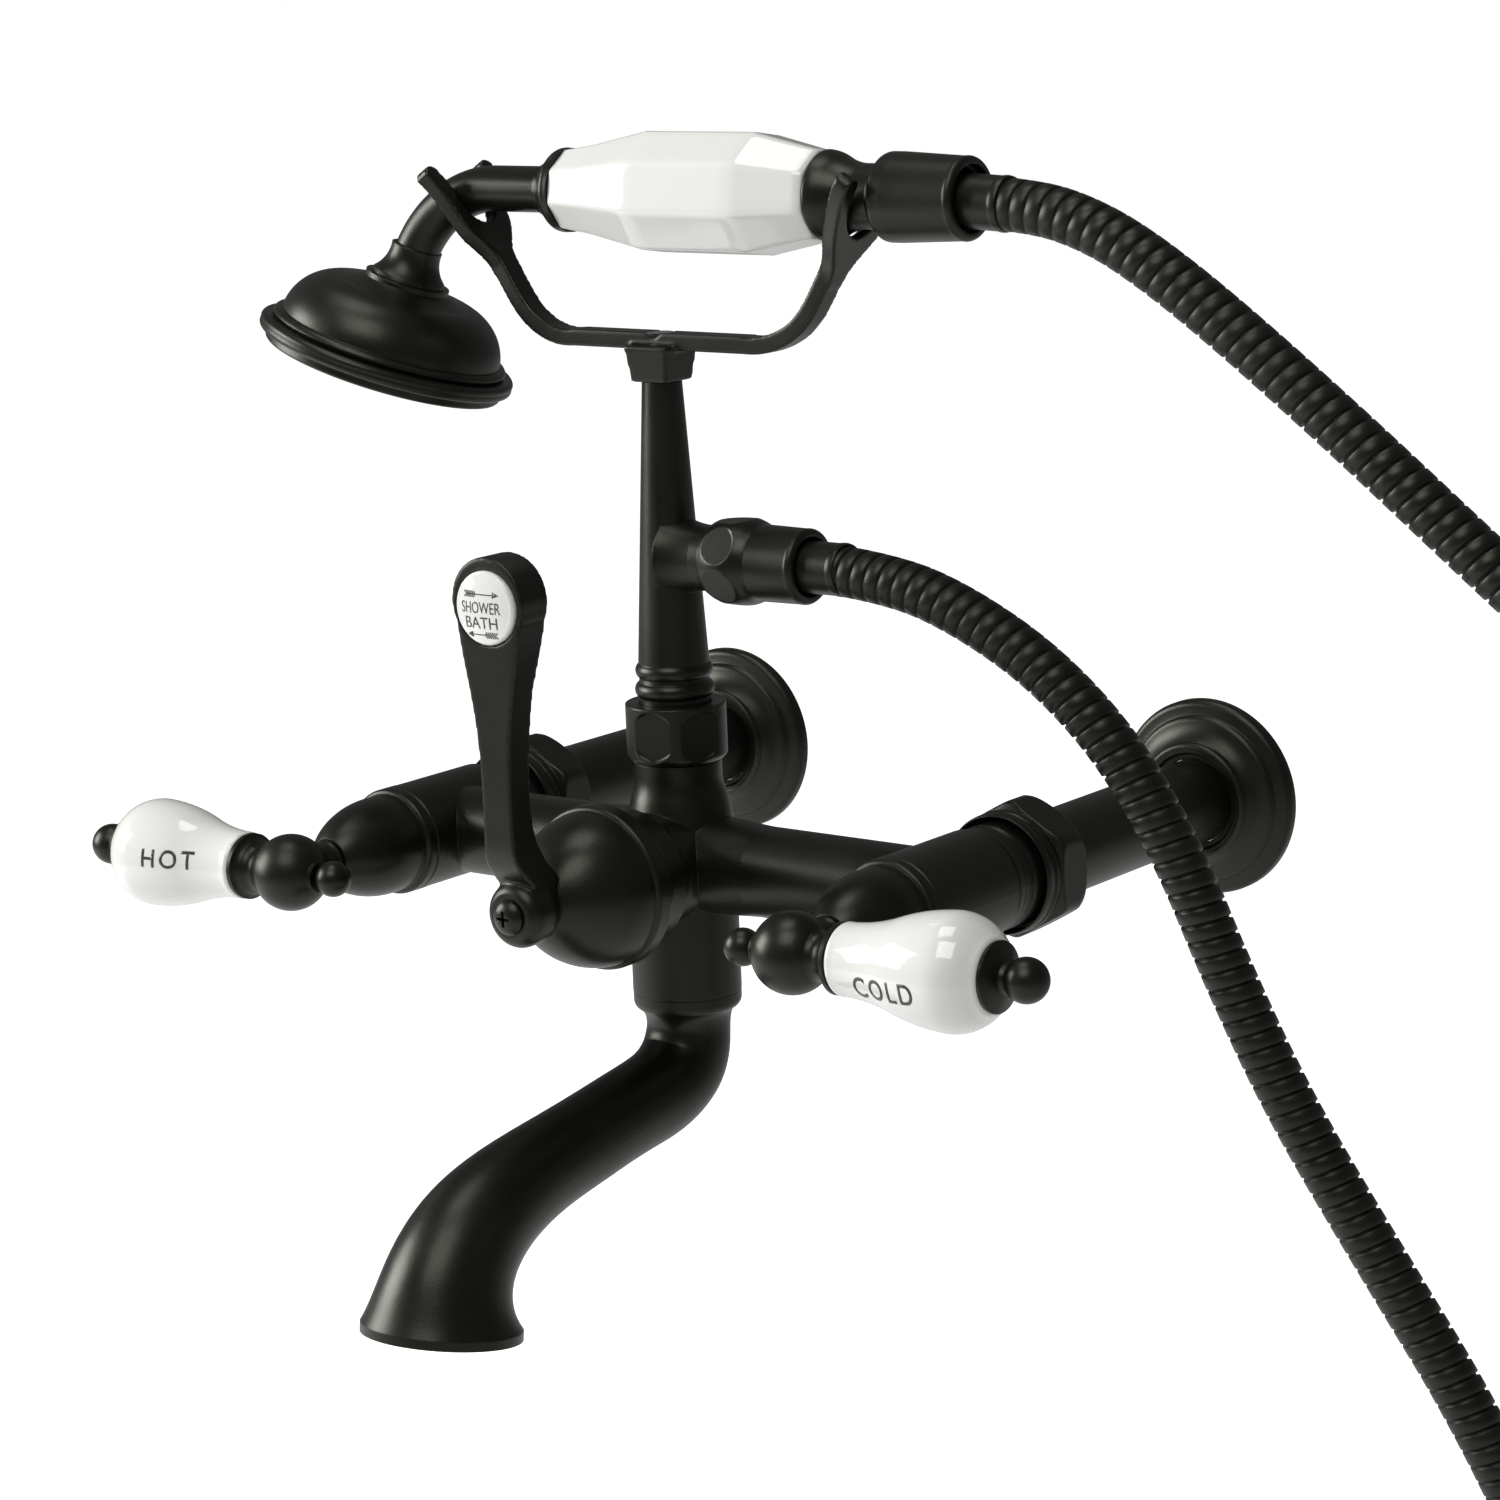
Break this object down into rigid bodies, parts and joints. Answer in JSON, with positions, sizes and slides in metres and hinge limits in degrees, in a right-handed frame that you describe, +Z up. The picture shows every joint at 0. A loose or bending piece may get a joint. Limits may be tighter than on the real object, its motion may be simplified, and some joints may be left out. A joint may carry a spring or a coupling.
{
  "type": "wall mounted bath faucet with hand shower",
  "caption": "Two-handle wall mounted bath faucet with white porcelain levers, a diverter lever, a down-turned spout, and a hand shower on a metal hose resting in a cradle.",
  "frame": {"origin": "on the wall plane, midway between the two inlets", "axes": "+X to the right when facing the wall, +Y into the wall, +Z up"},
  "size_m": [0.6325, 0.2721, 0.6634],
  "materials": {
    "matte_black": "satin, slightly speckled powder coat",
    "matte_black_hose": "satin coat on an interlocked metal hose",
    "black_screw": "satin",
    "white_porcelain": "glossy glaze",
    "hot_porcelain": "glossy glaze with dark grey lettering",
    "cold_porcelain": "glossy glaze with dark grey lettering",
    "button_porcelain": "glossy glaze with dark grey lettering",
    "brass": "machined",
    "steel": "machined",
    "white_ceramic_inside": "unglazed",
    "black_rubber": "matte",
    "grey_fibre": "matte",
    "nozzle_plate": "satin"
  },
  "bodies": {
    "hot_handle": {"hot_lever_hub": "matte_black", "hot_rear_finial": "matte_black", "hot_end_cap": "matte_black", "hot_stem": "brass", "hot_grub_screw": "steel", "hot_lever_rod": "steel", "hot_porcelain": "hot_porcelain"},
    "cold_handle": {"cold_lever_hub": "matte_black", "cold_rear_finial": "matte_black", "cold_end_cap": "matte_black", "cold_stem": "brass", "cold_grub_screw": "steel", "cold_lever_rod": "steel", "cold_porcelain": "cold_porcelain"},
    "diverter_handle": {"diverter_lever": "matte_black", "diverter_stem": "brass", "diverter_screw": "black_screw", "diverter_button": "button_porcelain"},
    "handset": {"hand_neck": "matte_black", "hand_front_collar": "matte_black", "hand_rear_collar": "matte_black", "upper_hose_nut": "matte_black", "upper_hose_ferrule": "matte_black", "head_socket": "matte_black", "head_shell": "matte_black", "head_ring": "matte_black", "hand_grip_tube": "brass", "upper_hose_washer": "black_rubber", "head_gasket": "black_rubber", "hand_grip": "white_porcelain", "head_face_plate": "nozzle_plate"},
    "faucet": {"left_wall_flange": "matte_black", "left_wall_arm": "matte_black", "left_union_nut": "matte_black", "left_union_washer": "grey_fibre", "right_wall_flange": "matte_black", "right_wall_arm": "matte_black", "right_union_nut": "matte_black", "right_union_washer": "grey_fibre", "valve_body": "matte_black", "hot_bonnet": "matte_black", "hot_cartridge": "white_ceramic_inside", "cold_bonnet": "matte_black", "cold_cartridge": "white_ceramic_inside", "diverter_bonnet": "matte_black", "riser": "matte_black", "riser_nut": "matte_black", "cradle": "matte_black", "lower_hose_nut": "matte_black", "lower_hose_ferrule": "matte_black", "spout": "matte_black", "diverter_cartridge": "white_ceramic_inside", "cradle_screw": "steel", "riser_washer": "black_rubber", "lower_hose_washer": "black_rubber", "spout_o_ring": "black_rubber", "hose": "matte_black_hose"}
  },
  "joints": [
    {"name": "hot_turn", "type": "hinge", "parent": "faucet", "child": "hot_handle", "pos_m": [-0.0889, -0.2061, 0], "axis": [0, -1, 0], "range_deg": [0, 90]},
    {"name": "cold_turn", "type": "hinge", "parent": "faucet", "child": "cold_handle", "pos_m": [0.0889, -0.2061, 0], "axis": [0, 1, 0], "range_deg": [0, 90]},
    {"name": "diverter_turn", "type": "hinge", "parent": "faucet", "child": "diverter_handle", "pos_m": [0, -0.2, 0], "axis": [0, 1, 0], "range_deg": [-45, 45]},
    {"name": "handset_lift", "type": "slide", "parent": "faucet", "child": "handset", "axis": [0, 0, 1], "range_m": [0, 0.026], "deforming": ["hose"]}
  ]
}
